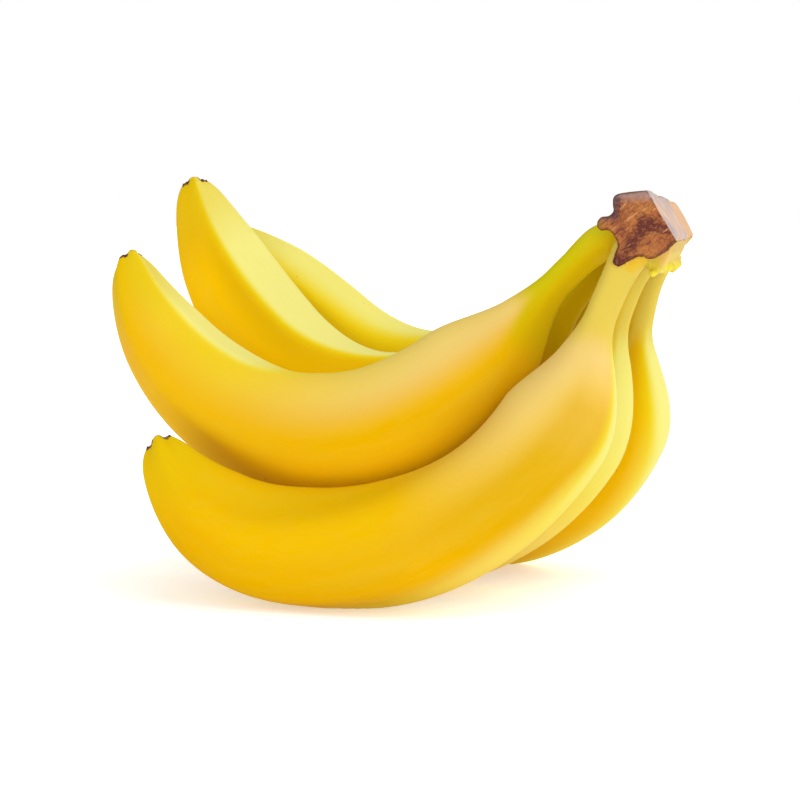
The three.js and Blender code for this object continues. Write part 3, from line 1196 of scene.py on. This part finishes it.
def fresh_cut(paint, place, where, leaned, strands, patches):
    """The red-brown wood, before its dark edge."""
    cut = paint.lay(CUT_RED, CUT_ORANGE, patches, 0.36, 0.62)
    rotten = paint.plus(paint.note("hollow"), paint.swing(patches, 1.4))
    cut = paint.lay(cut, CUT_DARK, paint.plus(rotten, paint.swing(strands, 3.0)), 0.20, 0.95, 0.90)
    cut = paint.lay(cut, CUT_DARK, strands, 0.44, 0.30, 0.8)
    cut = paint.lay(cut, CUT_DARK, paint.grain(place, 1100.0, 3.0, 0.7), 0.46, 0.62, 0.45)
    netting = paint.grain(paint.moved(leaned, {"Scale": (0.5, 1.0, 1.0)}), 1500.0, 2.0, 0.7)
    cut = paint.lay(cut, CUT_FLECK, netting, 0.52, 0.60, 0.45)
    cut = paint.lay(cut, CUT_STRAND, strands, 0.58, 0.68, 0.75)
    cut = paint.lay(cut, LOBE_TAN, where["X"], 0.0735, 0.0705, 0.55)
    cut = paint.lay(cut, CUT_GREY, where["Z"], 0.1210, 0.1245, 0.7)
    # Painted shadow: a dark purple grey along the cut's upper left edge.
    on_left = paint.fade(where["X"], 0.0775, 0.0755)
    painted_shadow = paint.times(on_left, paint.fade(where["Z"], 0.1150, 0.1180, 0.0, 0.7))
    return paint.blend(painted_shadow, cut, CUT_PAINTED_SHADOW)


def old_cut(paint, place, where, patches):
    """The pale dried face along the right side."""
    slope = paint.moved(place, {"Rotation": (0.0, OLD_SLOPE, 0.0)})
    streaks = paint.grain(paint.moved(slope, {"Scale": (0.15, 1.0, 1.0)}), 600.0, 4.0, 0.6)
    pale = paint.lay(OLD_GREY, OLD_PINK, streaks, 0.38, 0.62)
    pale = paint.lay(pale, OLD_GREY, where["Z"], GREY_ABOVE, GREY_ABOVE + 0.005, 0.7)
    pale = paint.lay(pale, OLD_TAN, where["Y"], VEIN_PLACE, VEIN_PLACE + 0.006, 0.7)
    bent = paint.plus(where["Y"], paint.swing(patches, 0.010))
    off_vein = paint.maths("ABSOLUTE", paint.maths("SUBTRACT", bent, VEIN_PLACE))
    return paint.lay(pale, OLD_VEIN, off_vein, *VEIN_EDGES, 0.85)


def crown_skin(paint, place, where, inside, old):
    """Skin between the cuts, down to the hem."""
    # Painted shade, as on the necks: olive or gold on the shaded side, green or yellow on the lit one.
    green = paint.blend(paint.note("neck"), SHADED_NECK_OLIVE, NECK_GREEN)
    ripe = paint.blend(paint.note("neck"), GOLD, NECK_YELLOW)
    skin = paint.blend(paint.note("green"), ripe, green)
    folds = paint.grain(paint.moved(place, {"Scale": (1.0, 1.0, 0.2)}), 260.0, 3.0)
    dried = paint.plus(paint.fade(where["Z"], 0.1055, 0.1085), paint.times(folds, 0.3))
    on_right = paint.fade(where["X"], 0.0790, 0.0850)
    skin = paint.blend(paint.times(paint.fade(dried, 0.25, 1.0), on_right), skin, SKIN_TAN)
    skin = paint.blend(paint.times(paint.fade(folds, 0.48, 0.36, 0.0, 0.5), on_right), skin, OLD_TAN)
    fresh = paint.fade(paint.grain(place, 170.0, 2.0), 0.36, 0.56, 0.15, 1.0)
    skin = paint.blend(paint.times(paint.note("hem"), fresh), skin, HEM_YELLOW)
    halo = paint.times(paint.fade(inside, -6.0, -1.0, 0.0, 0.6), paint.fade(where["X"], 0.0770, 0.0800))
    skin = paint.blend(halo, skin, GOLD)
    skin = paint.lay(skin, CUT_ORANGE, inside, -1.4, 0.0, 0.35)
    return paint.lay(skin, OLD_VEIN, old, -0.7, -0.1, 0.6)


print("fibres lean by", round(math.degrees(FIBRE_TILT)), "degrees")

# %% Paint and make the crown
def crown_paint():
    paint = Paint("crown_paint")
    place = paint.own_place()
    where = paint.node("ShaderNodeSeparateXYZ", {"Vector": place}).outputs
    leaned = paint.moved(place, {"Rotation": (0.0, FIBRE_TILT, 0.0)})
    strands = paint.grain(paint.moved(leaned, {"Scale": (0.13, 1.0, 1.0)}), 750.0, 4.0, 0.65)
    patches = paint.grain(place, 150.0, 3.0, 0.6)
    tear = paint.swing(paint.grain(place, 420.0, 4.0, 0.6), 1.6)
    front, back = (paint.plus(paint.note(name), tear) for name in ("cut", "back_cut"))
    inside = paint.maths("MAXIMUM", front, back)
    old = paint.plus(paint.note("stalk_cut"), paint.times(tear, 0.25))
    is_cut = paint.fade(inside, -0.12, 0.12)
    is_old = paint.fade(old, -0.12, 0.12)

    cut = fresh_cut(paint, place, where, leaned, strands, patches)
    cut = paint.lay(cut, CUT_EDGE, inside, 1.1, 0.1, 0.8)
    colour = paint.blend(is_cut, crown_skin(paint, place, where, inside, old), cut)
    colour = paint.blend(is_old, colour, old_cut(paint, place, where, patches))
    strong = paint.plus(paint.times(paint.maths("MAXIMUM", is_cut, is_old), 0.8), 0.08)
    return paint.finish(colour, 0.5, 0.8, is_cut, 0.12, paint.bump(strands, strong, 0.0008))


crown = piece_from(shape, "crown_stump", crown_paint())
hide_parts("crown")
print(crown.name, len(crown.data.polygons), "faces")
